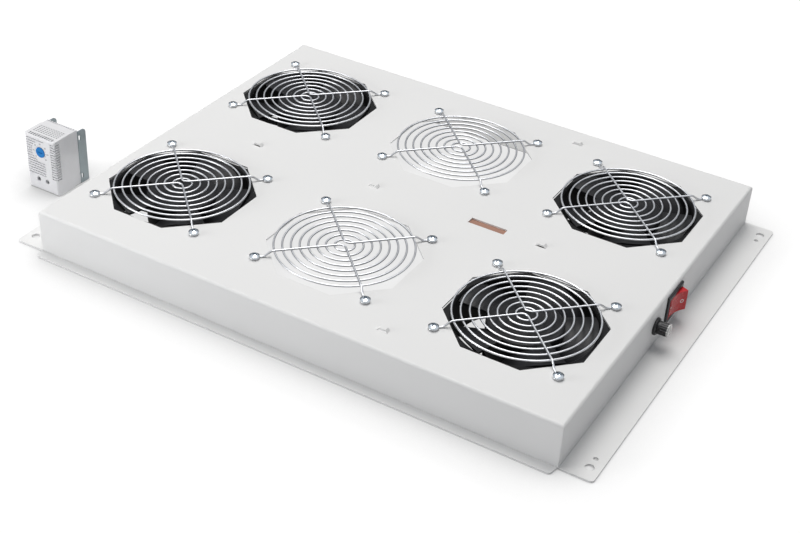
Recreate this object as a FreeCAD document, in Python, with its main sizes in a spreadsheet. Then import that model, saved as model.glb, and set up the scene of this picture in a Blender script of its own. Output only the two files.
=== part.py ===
import FreeCAD, Part
import math
import os
import re
import Sketcher

# Rack fan tray: a folded sheet tray with six guarded openings, four fans under it,
# a rocker switch and a fuse holder in one end wall, and a thermostat that stands beside it.
# Frame: the origin is the centre of the four flange bolt holes on the underside,
# +X runs along the long side towards the switch, +Z points up. Millimetres.

SIZES = (
    # Tray
    ("tray_length", 486, "length over the two end walls"),
    ("tray_depth", 396, "depth over the two long walls"),
    ("tray_height", 40, "height from the flange underside to the top face"),
    ("sheet", 1.5, "sheet thickness"),
    ("bend", 2.5, "outside radius of the top bends"),
    ("wall_corner", 1, "outside radius of the upright corners"),
    ("flange_width", 27, "width of an end flange beyond its wall"),
    ("flange_corner", 3, "radius of the flange corners"),
    ("lip_width", 9, "width of the narrow flange along a long wall"),
    ("lip_taper", 2.5, "how far the lip narrows at each end"),
    ("lip_corner", 3, "radius of the lip corners"),
    ("bolt_inset", 18.5, "bolt hole centre from the end wall"),
    ("bolt_end", 13, "bolt hole centre from the end of a flange"),
    ("bolt_hole", 7.5, "bolt hole diameter"),
    ("locator_gap", 10.8, "locating hole centre from the bolt hole"),
    ("locator_hole", 4, "locating hole diameter"),
    # Openings in the top
    ("fan_shift", -3, "middle of the fan pattern from the middle of the tray"),
    ("column_inset", 77, "centre of an outer column from the end wall, with no shift"),
    ("row_inset", 99.25, "centre of a row from its long wall"),
    ("opening_flats", 121, "opening size across flats"),
    ("screw_square", 105, "side of the square of fan screws"),
    ("screw_clearance", 0.25, "radial play of a screw in its hole"),
    ("slot_length", 34, "length of the wiring slot"),
    ("slot_width", 8.3, "width of the wiring slot"),
    ("slot_back", 3, "middle of the wiring slot short of midway between two columns"),
    ("slot_y", 0.5, "middle of the wiring slot along Y"),
    ("lance_length", 5.5, "length of the raised part of a cable tie bridge"),
    ("lance_width", 4.2, "width of a cable tie bridge"),
    ("lance_ramp", 2, "length of each sloping end of a cable tie bridge"),
    ("lance_rise", 2.2, "height that a cable tie bridge is pressed up"),
    ("lance_gap", 0.5, "gap in the sheet in front of a cable tie bridge"),
    ("lance_front", 24, "front cable tie bridge from the front wall"),
    ("lance_back", 23, "rear cable tie bridge from the rear wall"),
    ("lance_left", 10, "left cable tie bridge from the left column"),
    ("lance_middle", 32, "middle cable tie bridge from the middle column"),
    ("lance_right", 35, "right cable tie bridge from the right column"),
    # Finger guards
    ("wire", 1.7, "guard wire diameter"),
    ("ring_first", 8.3, "radius of the smallest ring"),
    ("ring_step", 7.1, "step from ring to ring"),
    ("ring_height", 4, "ring centres above the top face"),
    ("weld", 0.25, "how far the spokes sink into the rings"),
    ("spoke_offset", 0.5, "spoke bend from the middle of the guard"),
    ("spoke_bend", 5.5, "radius of the spoke bends"),
    ("step_start", 14, "start of the step down of a spoke, from its eye"),
    ("step_end", 8, "end of the step down of a spoke, from its eye"),
    ("eye_play", 0.4, "radial play of a screw in its eye"),
    # Screws and nuts
    ("screw_size", 4, "screw diameter"),
    ("screw_length", 12, "screw length under the head"),
    ("head_size", 8.5, "screw head diameter"),
    ("head_height", 2.6, "screw head height"),
    ("head_crown", 1.4, "height of the domed part of the head"),
    ("recess_depth", 1.9, "depth of the cross recess"),
    ("recess_width", 1.3, "width of the cross recess"),
    ("recess_span", 5, "span of the cross recess"),
    ("nut_size", 7, "nut across flats"),
    ("nut_height", 3.2, "nut height"),
    # Fans
    ("fan_size", 119.5, "side of the square fan frame"),
    ("fan_height", 38, "depth of the fan frame"),
    ("fan_corner", 4, "corner radius of the fan frame"),
    ("fan_flange", 4.5, "thickness of the square end flanges"),
    ("duct_bore", 115, "bore of the fan duct"),
    ("duct_wall", 2.2, "wall of the fan duct between the flanges"),
    ("duct_flare", 1.4, "chamfer at the mouths of the duct"),
    ("hub_radius", 31, "radius of the impeller hub"),
    ("hub_wall", 2, "wall of the hub"),
    ("hub_drop", 1.5, "hub face below the fan face"),
    ("hub_bottom", 10, "lower rim of the hub above the fan base"),
    ("hub_round", 2, "rounding of the hub face"),
    ("boss_radius", 5, "radius of the shaft boss in the hub"),
    ("boss_gap", 2, "shaft boss above the bearing tube"),
    ("blade_drop", 0.5, "leading edge below the hub face"),
    ("blade_over", 2, "blade sections beyond the duct bore, before the tips are trimmed"),
    ("blade_bottom", 11, "lower edge of the blades above the fan base"),
    ("blade_thick", 2, "blade thickness"),
    ("blade_edge", 1.2, "thickness of the trailing edge"),
    ("blade_arch", 62, "radius of the blade camber at the tip"),
    ("blade_play", 1.2, "gap between blade tips and duct"),
    ("tip_lead", 36, "leading edge from the blade middle line, beyond the tip"),
    ("tip_trail", 35, "trailing edge from the blade middle line, beyond the tip"),
    ("root_lead", 13, "leading edge from the blade middle line, inside the hub"),
    ("root_trail", 13, "trailing edge from the blade middle line, inside the hub"),
    ("root_arch", 30, "radius of the blade camber inside the hub"),
    ("strut_width", 7, "width of a motor strut"),
    ("strut_height", 4, "height of a motor strut"),
    ("strut_overlap", 6, "how far a strut runs into the motor plate"),
    ("strut_lean", 4, "sideways lean of a strut"),
    ("motor_plate", 3, "thickness of the motor plate"),
    ("tube_radius", 6.5, "outside radius of the bearing tube"),
    ("tube_height", 26, "top of the bearing tube above the fan base"),
    ("shaft_radius", 2, "radius of the fan shaft"),
    ("shaft_play", 0.03, "running fit of the shaft"),
    ("shaft_gap", 1, "shaft end above the bottom of its tube"),
    ("bearing_radius", 5, "outside radius of a bearing"),
    ("bearing_height", 4, "height of a bearing"),
    ("stator_radius", 24, "radius of the wound stator"),
    ("stator_gap", 4, "windings above the motor plate"),
    ("coil_step", 5, "chamfer of the windings"),
    ("yoke_wall", 3, "thickness of the steel ring in the hub"),
    ("tab_width", 6.3, "width of a push-on terminal"),
    ("tab_thick", 0.8, "thickness of a push-on terminal"),
    ("tab_length", 9, "length of a push-on terminal"),
    # Rocker switch
    ("switch_y", 11.2, "switch centre along the end wall"),
    ("switch_z", 22.8, "switch centre above the flange underside"),
    ("bezel_length", 31, "bezel length along the wall"),
    ("bezel_height", 26, "bezel height"),
    ("bezel_thick", 2, "bezel thickness"),
    ("housing_length", 27.4, "switch body length along the wall"),
    ("housing_height", 22.4, "switch body height"),
    ("housing_depth", 24, "switch body depth behind the bezel"),
    ("housing_well", 17, "depth of the well for the rocker"),
    ("switch_tab_y", 7, "switch terminals from the switch centre, along the wall"),
    ("switch_tab_z", 4.5, "switch terminals from the switch centre, up and down"),
    ("cutout_play", 0.2, "play of the switch body in the wall"),
    ("rocker_radius", 12.5, "radius of the rocker ends about the pivot"),
    ("rocker_height", 18.5, "rocker size along its pivot"),
    ("rocker_play", 0.4, "gap round the rocker"),
    ("rocker_out", 5, "rocker tips outward of the pivot when level"),
    ("rocker_skirt", 3, "inner end of the rocker's round sides, from the pivot"),
    ("rocker_deep", 9, "inner end of the rocker, from the pivot"),
    ("rocker_foot", 6, "width of the rocker at its inner end"),
    ("rocker_pivot", 0.5, "pivot outward of the wall face"),
    ("rocker_tilt", 15, "rocker tilt from level, in degrees"),
    ("pivot_radius", 1, "radius of the rocker pivot pins"),
    ("pivot_length", 1.4, "length of a pivot pin"),
    ("pivot_play", 0.05, "running fit of the pivot pins"),
    ("pivot_end", 0.1, "end play of the pivot pins"),
    # Fuse holder
    ("fuse_y", -24.6, "fuse holder centre along the end wall"),
    ("fuse_z", 21, "fuse holder centre above the flange underside"),
    ("fuse_flange_radius", 7.4, "radius of the fuse holder flange"),
    ("fuse_flange", 2.5, "thickness of the fuse holder flange"),
    ("fuse_chamfer", 0.8, "chamfer of the fuse holder flange and cap"),
    ("barrel_radius", 5.5, "radius of the threaded barrel"),
    ("barrel_length", 32, "barrel length behind the wall face"),
    ("barrel_floor", 4, "thickness of the closed end of the barrel"),
    ("carrier_radius", 3.8, "radius of the fuse carrier"),
    ("carrier_play", 0.05, "running fit of the carrier in the barrel"),
    ("carrier_gap", 1, "carrier short of the bottom of the barrel"),
    ("fuse_nut", 15, "fuse holder nut across flats"),
    ("fuse_nut_thick", 3.5, "fuse holder nut thickness"),
    ("cap_radius", 5.5, "radius of the fuse cap"),
    ("cap_length", 9.6, "length of the fuse cap"),
    ("cap_gap", 0.3, "gap between the cap and the flange"),
    ("cap_seat", 6, "how far the carrier reaches into the cap"),
    ("flute_radius", 0.7, "radius of a finger flute of the cap"),
    ("flute_out", 0.3, "centre of a finger flute beyond the cap"),
    ("flute_stop", 2, "end of the finger flutes from the inner end of the cap"),
    ("cap_slot_length", 7, "length of the coin slot in the cap"),
    ("cap_slot_width", 1.2, "width of the coin slot in the cap"),
    ("fuse_tab_rise", 3, "fuse terminals from the fuse centre"),
    ("fuse_radius", 2.6, "radius of the fuse link"),
    ("fuse_length", 20, "length of the fuse link"),
    # Wiring board
    ("board_length", 46, "length of the brown board"),
    ("board_width", 16, "width of the brown board"),
    ("board_thick", 1.6, "thickness of the brown board"),
    ("board_round", 4, "corner radius of the brown board"),
    ("board_end", 0.8, "right end of the board short of the slot end"),
    ("block_length", 40, "terminal block length"),
    ("block_width", 13, "terminal block width"),
    ("block_height", 12, "terminal block height"),
    ("block_pitch", 8, "pitch of the terminals"),
    ("block_bore", 7.2, "depth of the terminal screw holes"),
    ("block_screw", 2.2, "radius of a terminal screw"),
    ("block_screw_length", 3, "length of a terminal screw"),
    # Cable grommet
    ("grommet_inset", 43, "grommet centre from the end wall"),
    ("grommet_z", 20, "grommet centre above the flange underside"),
    ("grommet_hole", 10, "hole in the wall for the grommet"),
    ("grommet_bore", 6.5, "bore of the grommet"),
    ("grommet_rim", 2, "rim of the grommet beyond its hole"),
    ("grommet_lip", 2, "thickness of the grommet rims"),
    # Thermostat
    ("stat_y", -124.5, "thermostat front face"),
    ("stat_width", 35, "thermostat width"),
    ("stat_height", 55.5, "thermostat height"),
    ("stat_depth", 30, "thermostat depth without its clip"),
    ("stat_gap", 19.5, "gap between the left flange and the thermostat"),
    ("stat_base", 8, "depth of the thermostat base"),
    ("stat_wall", 2.2, "wall of the thermostat cover"),
    ("stat_round", 2.5, "rounding of the thermostat cover"),
    ("dial_z", 40.3, "dial centre above the base of the thermostat"),
    ("dial_radius", 4.9, "radius of the dial"),
    ("dial_play", 0.3, "gap round the dial"),
    ("dial_out", 0.6, "dial face outward of the cover"),
    ("dial_thick", 1.6, "thickness of the dial"),
    ("dial_slot_length", 5.6, "length of the slot in the dial"),
    ("dial_slot_width", 1.2, "width of the slot in the dial"),
    ("dial_slot_depth", 0.7, "depth of the slot in the dial"),
    ("dial_stem", 1.5, "radius of the dial stem"),
    ("dial_stem_length", 7, "length of the dial stem"),
    ("dial_post", 4, "radius of the post that carries the dial stem"),
    ("post_gap", 0.3, "gap between the dial and its post"),
    ("clamp_z", 11.4, "clamp screws above the base of the thermostat"),
    ("clamp_pitch", 10, "spacing of the clamp screws"),
    ("clamp_hole", 4.4, "holes over the clamp screws"),
    ("clamp_radius", 1.9, "radius of a clamp screw"),
    ("clamp_length", 3, "length of a clamp screw"),
    ("clamp_back", 6, "clamp block behind the front face"),
    ("clamp_block_width", 22, "width of the clamp block"),
    ("clamp_block_height", 12, "height of the clamp block"),
    ("base_step", 0.5, "thermostat base inside the outline of its cover"),
    ("groove_width", 1.3, "width of a grip groove"),
    ("groove_depth", 1.5, "depth of a grip groove"),
    ("groove_low", 16, "lowest grip groove above the base of the thermostat"),
    ("groove_rise", 35, "highest grip groove above the lowest one"),
    ("groove_wrap", 6, "how far the grooves run along each side of the right front edge"),
    ("groove_reach", 22, "length of the grooves from the left edge"),
    ("dial_plain", 10, "radius of the plain area round the dial"),
    ("vent_length", 1.8, "length of a small vent in the top"),
    ("vent_width", 1.1, "width of a small vent in the top"),
    ("front_vent_length", 3.8, "length of a vent along the front top edge"),
    ("front_vent_width", 1.3, "width of a vent along the front top edge"),
    ("front_vent_y", 2.9, "middle of the vents along the front top edge, from the front face"),
    ("vent_span", 26, "length of a row of vents"),
    ("vent_front", 8, "first row of small vents from the front face"),
    ("vent_pitch", 2.4, "spacing of the rows of small vents"),
    ("notch_length", 1.3, "length of a notch in the rear top edge"),
    ("notch_depth", 2.5, "depth of a notch in the rear top edge"),
    ("notch_width", 2.4, "how far a notch runs forward from the back"),
    ("notch_span", 29, "length of the row of notches"),
    ("bracket_depth", 10.5, "depth of the steel clip"),
    ("bracket_height", 53, "height of the steel clip"),
    ("bracket_sheet", 1, "thickness of the steel clip"),
    ("bracket_round", 4, "radius of the upper rear corners of the clip"),
    ("bracket_window_y", 2.4, "middle of the clip windows behind the thermostat"),
    ("bracket_window_width", 2.4, "width of the clip windows"),
    ("bracket_window_height", 5, "height of the clip windows"),
    ("bracket_window_end", 7, "middle of the clip windows from the ends of the clip"),
)

# Places and spacings that follow from the sizes
DERIVED = {
    "bolt_row": "tray_depth - 2 * bolt_end",
    "fan_pitch": "tray_length / 2 - column_inset",
    "row_pitch": "tray_depth - 2 * row_inset",
    "grommet_x": "tray_length / 2 - grommet_inset",
    "stat_x": "-tray_length / 2 - flange_width - stat_gap - stat_width / 2",
}
RING_COUNT = 8
BLADE_COUNT = 5
STRUT_COUNT = 4
FLUTE_COUNT = 16
TERMINAL_COUNT = 5
GROOVE_COUNT = 15
VENT_COUNT = 10
VENT_ROWS = 5
FRONT_VENT_COUNT = 11
NOTCH_COUNT = 12
COLUMNS = (-1, 0, 1)
ROWS = (-1, 1)
# Fans hang under the outer columns: column, row, and how far each rotor has turned.
FANS = ((-1, -1, 7), (1, -1, 9.5), (-1, 1, -2), (1, 1, -5))
# Cable tie bridges, from the middle of the tray
LANCES = (
    ("fan_shift + fan_pitch / 2", "tray_depth / 2 - lance_back"),
    ("fan_shift + fan_pitch / 2", "lance_front - tray_depth / 2"),
    ("fan_shift - fan_pitch + lance_left", "0"),
    ("fan_shift - lance_middle", "0"),
    ("fan_shift + fan_pitch - lance_right", "0"),
)
SLOT_X = "fan_shift + fan_pitch / 2 - slot_back"

doc = FreeCAD.newDocument("rack_fan_tray")
sheet = doc.addObject("Spreadsheet::Sheet", "sizes")
for row, (alias, amount, note) in enumerate(SIZES, start=1):
    sheet.set("A%d" % row, note)
    sheet.set("B%d" % row, str(amount))
    sheet.setAlias("B%d" % row, alias)
doc.recompute()
ALIASES = {alias for alias, amount, note in SIZES}
nodes = {}


def cell_name(word):
    name = word[0]
    if name in DERIVED:
        return "(%s)" % bind(DERIVED[name])
    return "sizes." + name if name in ALIASES else name


def bind(text):
    """Point each size named in an expression at its cell."""
    return re.sub(r"[a-z][a-z_]*", cell_name, str(text))


def size(text):
    """Work an expression of sizes out as a number."""
    return float(sheet.evalExpression(bind(text)))


def new_body(label):
    body = doc.addObject("PartDesign::Body", label)
    body.Label = label
    return body


def origin_item(body, role):
    return next(item for item in body.Origin.OriginFeatures if item.Role == role)


def sketch_on(body, role, height="0"):
    """Start a sketch on an origin plane of the body, lifted along its normal."""
    sketch = body.newObject("Sketcher::SketchObject", "sketch")
    sketch.AttachmentSupport = [(origin_item(body, role), "")]
    sketch.MapMode = "FlatFace"
    sketch.setExpression("AttachmentOffset.Base.z", bind(height))
    return sketch


def hold(sketch, constraints):
    """Add constraints, each with the expression that drives it or None."""
    rows = sketch.addConstraint([constraint for constraint, text in constraints])
    for row, (constraint, text) in zip(rows, constraints):
        if text is not None:
            sketch.setExpression("Constraints[%d]" % row, bind(text))


def pins(element, point, x, y):
    """Constraints that hold one point at distances from the sketch origin."""
    return [
        (Sketcher.Constraint("DistanceX", -1, 1, element, point, size(x)), x),
        (Sketcher.Constraint("DistanceY", -1, 1, element, point, size(y)), y),
    ]


def draw_outline(sketch, points):
    """Draw a closed outline. A point is (x, y), or (x, y, radius, side) where an arc to
    the next point follows, with its centre on that side of the way there."""
    first = sketch.GeometryCount
    count = len(points)
    ends = [FreeCAD.Vector(size(point[0]), size(point[1]), 0) for point in points]
    starts_at = []
    constraints = []
    for n, point in enumerate(points):
        here, there = ends[n], ends[(n + 1) % count]
        if len(point) == 2:
            sketch.addGeometry(Part.LineSegment(here, there), False)
            starts_at.append(1)
            continue
        radius = size(point[2])
        turn = 1 if point[3] == "left" else -1
        chord = there - here
        rise = math.sqrt(radius ** 2 - chord.Length ** 2 / 4)
        centre = (here + there) / 2 + FreeCAD.Vector(-chord.y, chord.x, 0) * (turn * rise / chord.Length)
        first_end, last_end = (here, there) if turn > 0 else (there, here)
        angles = [math.atan2(end.y - centre.y, end.x - centre.x) for end in (first_end, last_end)]
        circle = Part.Circle(centre, FreeCAD.Vector(0, 0, 1), radius)
        sketch.addGeometry(Part.ArcOfCircle(circle, angles[0], angles[1]), False)
        starts_at.append(1 if turn > 0 else 2)
        constraints.append((Sketcher.Constraint("Radius", first + n, radius), point[2]))
    for n, point in enumerate(points):
        following = (n + 1) % count
        join = Sketcher.Constraint(
            "Coincident", first + n, 3 - starts_at[n], first + following, starts_at[following])
        constraints.append((join, None))
        constraints += pins(first + n, starts_at[n], point[0], point[1])
    hold(sketch, constraints)


def draw_box(sketch, x, y, length, width):
    """Draw a rectangle about its middle."""
    left, right = "%s - (%s) / 2" % (x, length), "%s + (%s) / 2" % (x, length)
    low, high = "%s - (%s) / 2" % (y, width), "%s + (%s) / 2" % (y, width)
    draw_outline(sketch, ((left, low), (right, low), (right, high), (left, high)))


def draw_circles(sketch, places, radius):
    for x, y in places:
        circle = Part.Circle(FreeCAD.Vector(size(x), size(y), 0), FreeCAD.Vector(0, 0, 1), size(radius))
        element = sketch.addGeometry(circle, False)
        radius_row = (Sketcher.Constraint("Radius", element, size(radius)), radius)
        hold(sketch, [radius_row] + pins(element, 3, x, y))


def pad(body, sketch, length, reverse=False):
    feature = body.newObject("PartDesign::Pad", "pad")
    feature.Profile = sketch
    feature.setExpression("Length", bind(length))
    feature.Reversed = reverse
    doc.recompute()
    return feature


def revolve(body, sketch):
    feature = body.newObject("PartDesign::Revolution", "revolution")
    feature.Profile = sketch
    feature.ReferenceAxis = (sketch, ["V_Axis"])
    feature.Angle = 360
    doc.recompute()
    return feature


def check_cut(body, before, what):
    doc.recompute()
    if body.Shape.Volume >= before - 1e-6:
        raise RuntimeError("%s cuts nothing in %s" % (what, body.Label))


def pocket(body, sketch, depth, reverse=False):
    before = body.Shape.Volume
    feature = body.newObject("PartDesign::Pocket", "pocket")
    feature.Profile = sketch
    feature.setExpression("Length", bind(depth))
    feature.Reversed = reverse
    check_cut(body, before, "pocket")
    return feature


def dress(body, kind, amount, base, test):
    """Fillet or chamfer the edges of the base feature that pass the test."""
    names = ["Edge%d" % n for n, edge in enumerate(base.Shape.Edges, start=1) if test(edge.BoundBox)]
    feature = body.newObject("PartDesign::" + kind, kind.lower())
    feature.Base = (base, names)
    feature.setExpression("Radius" if kind == "Fillet" else "Size", bind(amount))
    doc.recompute()
    return feature


def around(body, feature, count):
    """Repeat a feature about the Z axis of the body."""
    pattern = body.newObject("PartDesign::PolarPattern", "pattern")
    pattern.Originals = [feature]
    pattern.Axis = (origin_item(body, "Z_Axis"), [""])
    pattern.Angle = 360
    pattern.Occurrences = count
    body.Tip = pattern
    doc.recompute()
    return pattern


def along(body, feature, role, length, count):
    """Repeat a feature along an axis of the body."""
    pattern = body.newObject("PartDesign::LinearPattern", "pattern")
    pattern.Originals = [feature]
    pattern.Direction = (origin_item(body, role), [""])
    pattern.setExpression("Length", bind(length))
    pattern.Occurrences = count
    body.Tip = pattern
    doc.recompute()
    return pattern


def turned(label, points):
    """A body turned about its own Z axis from an outline of (radius, height) points."""
    body = new_body(label)
    sketch = sketch_on(body, "XZ_Plane")
    draw_outline(sketch, points)
    revolve(body, sketch)
    return body


def ring_points(inner, outer, low, high):
    return ((inner, low), (outer, low), (outer, high), (inner, high))


def upright(box):
    return box.XLength < 1e-3 and box.YLength < 1e-3


def level(box, height):
    return box.ZLength < 1e-3 and abs(box.ZMin - height) < 1e-3


def keep(item, label, x="0", y="0", z="0", axis=(0, 0, 1), turn=0):
    """Name a sub-part and put it in its place."""
    item.Label = label
    item.Placement = FreeCAD.Placement(
        FreeCAD.Vector(size(x), size(y), size(z)), FreeCAD.Rotation(FreeCAD.Vector(*axis), turn))
    for name, text in (("x", x), ("y", y), ("z", z)):
        item.setExpression("Placement.Base." + name, bind(text))
    nodes[label] = item
    return item


def copy_of(form, label, x, y, z, turn=0):
    """A sub-part with the form of another one."""
    body = doc.addObject("PartDesign::Body", label)
    base = body.newObject("PartDesign::FeatureBase", label + "_form")
    base.BaseFeature = form
    body.Tip = base
    doc.recompute()
    return keep(body, label, x, y, z, turn=turn)


def group_of(form, label, places):
    """Identical pieces, each a solid of its own, kept under one name."""
    pieces = []
    for x, y, z in places:
        piece = form.Shape.copy()
        piece.translate(FreeCAD.Vector(size(x), size(y), size(z)))
        pieces.append(piece)
    group = doc.addObject("Part::Feature", label)
    group.Shape = Part.makeCompound(pieces)
    return keep(group, label)


def column_x(column):
    return "(fan_shift + %d * fan_pitch)" % column


def row_y(row):
    return "(%d * row_pitch / 2)" % row


def screw_places(column, row):
    """The four screw centres of one opening."""
    return [
        ("%s + %d * screw_square / 2" % (column_x(column), across),
         "%s + %d * screw_square / 2" % (row_y(row), back))
        for across in (-1, 1) for back in (-1, 1)
    ]


def octagon(x, y, flats):
    """Corner points of a regular octagon with sides along X and Y."""
    far = "%s / 2" % flats
    near = "%s / 2 * (sqrt(2) - 1)" % flats
    signs = ((1, -1), (1, 1), (-1, 1), (-1, -1))
    points = []
    for n, (across, back) in enumerate(signs):
        pair = ((far, near), (near, far)) if n % 2 else ((near, far), (far, near))
        points += [("%s + %d * %s" % (x, across, a), "%s + %d * %s" % (y, back, b)) for a, b in pair]
    return points


# Tray
def make_tray():
    body = new_body("tray_shell")
    outline = sketch_on(body, "XY_Plane")
    draw_box(outline, "0", "0", "tray_length", "tray_depth")
    block = pad(body, outline, "tray_height")
    corners = dress(body, "Fillet", "wall_corner", block, upright)
    top = size("tray_height")
    bends = dress(body, "Fillet", "bend", corners, lambda box: level(box, top))

    hollow = sketch_on(body, "XY_Plane")
    draw_box(hollow, "0", "0", "tray_length - 2 * sheet", "tray_depth - 2 * sheet")
    pocket(body, hollow, "tray_height - sheet", reverse=True)

    flange = sketch_on(body, "XY_Plane")
    for side in (-1, 1):
        draw_box(flange, "%d * (tray_length + flange_width) / 2" % side, "0", "flange_width", "tray_depth")
    flanges = pad(body, flange, "sheet")
    flange_end = size("tray_length / 2 + flange_width")
    flanges = dress(body, "Fillet", "flange_corner", flanges,
                    lambda box: upright(box) and abs(abs(box.XMin) - flange_end) < 1e-3)

    lip = sketch_on(body, "XY_Plane")
    for side in (-1, 1):
        near, far = "%d * tray_depth / 2" % side, "%d * (tray_depth / 2 + lip_width)" % side
        draw_outline(lip, (
            ("-tray_length / 2 + wall_corner", near), ("tray_length / 2 - wall_corner", near),
            ("tray_length / 2 - lip_taper", far), ("-tray_length / 2 + lip_taper", far)))
    lips = pad(body, lip, "sheet")
    lip_edge = size("tray_depth / 2 + lip_width")
    dress(body, "Fillet", "lip_corner", lips,
          lambda box: upright(box) and abs(abs(box.YMin) - lip_edge) < 1e-3)

    bolts = sketch_on(body, "XY_Plane")
    bolt_x = "(tray_length / 2 + bolt_inset)"
    for side in (-1, 1):
        for end in (-1, 1):
            x = "%d * %s" % (side, bolt_x)
            draw_circles(bolts, [(x, "%d * bolt_row / 2" % end)], "bolt_hole / 2")
            draw_circles(bolts, [(x, "%d * (bolt_row / 2 - locator_gap)" % end)], "locator_hole / 2")
    pocket(body, bolts, "2 * sheet", reverse=True)

    openings = sketch_on(body, "XY_Plane", "tray_height")
    for column in COLUMNS:
        for row in ROWS:
            draw_outline(openings, octagon(column_x(column), row_y(row), "opening_flats"))
            draw_circles(openings, screw_places(column, row), "screw_size / 2 + screw_clearance")
    pocket(body, openings, "2 * sheet")

    slots = sketch_on(body, "XY_Plane", "tray_height")
    draw_box(slots, SLOT_X, "slot_y", "slot_length", "slot_width")
    for x, y in LANCES:
        draw_box(slots, x, y + " - lance_gap / 2", "lance_length + 2 * lance_ramp", "lance_width + lance_gap")
    pocket(body, slots, "2 * sheet")
    low, high = "tray_height - sheet", "tray_height"
    for x, y in LANCES:
        bridge = sketch_on(body, "XZ_Plane", "-(%s) - lance_width / 2" % y)
        left, right = x + " - lance_length / 2", x + " + lance_length / 2"
        draw_outline(bridge, (
            (left + " - lance_ramp", low), (left, low + " + lance_rise"), (right, low + " + lance_rise"),
            (right + " + lance_ramp", low), (right + " + lance_ramp", high), (right, high + " + lance_rise"),
            (left, high + " + lance_rise"), (left + " - lance_ramp", high)))
        pad(body, bridge, "lance_width")

    end_wall = sketch_on(body, "YZ_Plane", "tray_length / 2 + sheet")
    draw_box(end_wall, "switch_y", "switch_z",
             "housing_length + 2 * cutout_play", "housing_height + 2 * cutout_play")
    draw_circles(end_wall, [("fuse_y", "fuse_z")], "barrel_radius + cutout_play")
    pocket(body, end_wall, "3 * sheet")

    rear_wall = sketch_on(body, "XZ_Plane", "-tray_depth / 2 - sheet")
    draw_circles(rear_wall, [("grommet_x", "grommet_z")], "grommet_hole / 2")
    pocket(body, rear_wall, "3 * sheet", reverse=True)
    keep(body, "tray_shell")


# Finger guards
def rounded_path(points, radius):
    """Straight runs joined by arcs of one radius, as a wire."""
    edges = []
    start = points[0]
    for before, corner, after in zip(points, points[1:], points[2:]):
        towards = (corner - before).normalize()
        away = (after - corner).normalize()
        half_turn = towards.getAngle(away) / 2
        cut = radius * math.tan(half_turn)
        first, last = corner - towards * cut, corner + away * cut
        middle = corner + (away - towards).normalize() * (radius / math.cos(half_turn) - radius)
        edges += [Part.makeLine(start, first), Part.Arc(first, middle, last).toShape()]
        start = last
    edges.append(Part.makeLine(start, points[-1]))
    return Part.Wire(edges)


def spoke_shape(side):
    """One spoke: from eye to eye over the rings, bent beside the middle of the guard."""
    wire = size("wire")
    high = size("ring_height + wire - weld")
    low = wire / 2
    corner = size("screw_square / 2")
    bend_at = FreeCAD.Vector(0, side * size("spoke_offset"), high)
    eye = FreeCAD.Vector(corner, side * corner, high)
    along_leg = (eye - bend_at).normalize()
    down = FreeCAD.Vector(0, 0, low - high)
    reach = size("screw_size / 2 + eye_play + wire / 2")
    leg = [eye - along_leg * size("step_start"), eye - along_leg * size("step_end") + down,
           eye - along_leg * reach + down]
    mirrored = [FreeCAD.Vector(-point.x, point.y, point.z) for point in reversed(leg)]
    points = mirrored + [bend_at] + leg
    path = rounded_path(points, size("spoke_bend"))
    start = points[0]
    circle = Part.Wire(Part.makeCircle(wire / 2, start, points[1] - start))
    return path.makePipeShell([circle], True, False)


def make_guards():
    pieces = []
    for n in range(RING_COUNT):
        ring = doc.addObject("Part::Torus", "ring")
        ring.setExpression("Radius1", bind("ring_first + %d * ring_step" % n))
        ring.setExpression("Radius2", bind("wire / 2"))
        ring.setExpression("Placement.Base.z", bind("ring_height"))
        pieces.append(ring)
    for across in (-1, 1):
        for back in (-1, 1):
            eye = doc.addObject("Part::Torus", "eye")
            eye.setExpression("Radius1", bind("screw_size / 2 + eye_play + wire / 2"))
            eye.setExpression("Radius2", bind("wire / 2"))
            eye.setExpression("Placement.Base.x", bind("%d * screw_square / 2" % across))
            eye.setExpression("Placement.Base.y", bind("%d * screw_square / 2" % back))
            eye.setExpression("Placement.Base.z", bind("wire / 2"))
            pieces.append(eye)
    for side in (-1, 1):
        spoke = doc.addObject("Part::Feature", "spoke")
        spoke.Shape = spoke_shape(side)
        pieces.append(spoke)
    form = doc.addObject("Part::MultiFuse", "guard_form")
    form.Shapes = pieces
    doc.recompute()
    places = [(column, row) for row in ROWS for column in COLUMNS]
    for n, (column, row) in enumerate(places, start=1):
        copy_of(form, "finger_guard_%d" % n, column_x(column), row_y(row), "tray_height")


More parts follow.
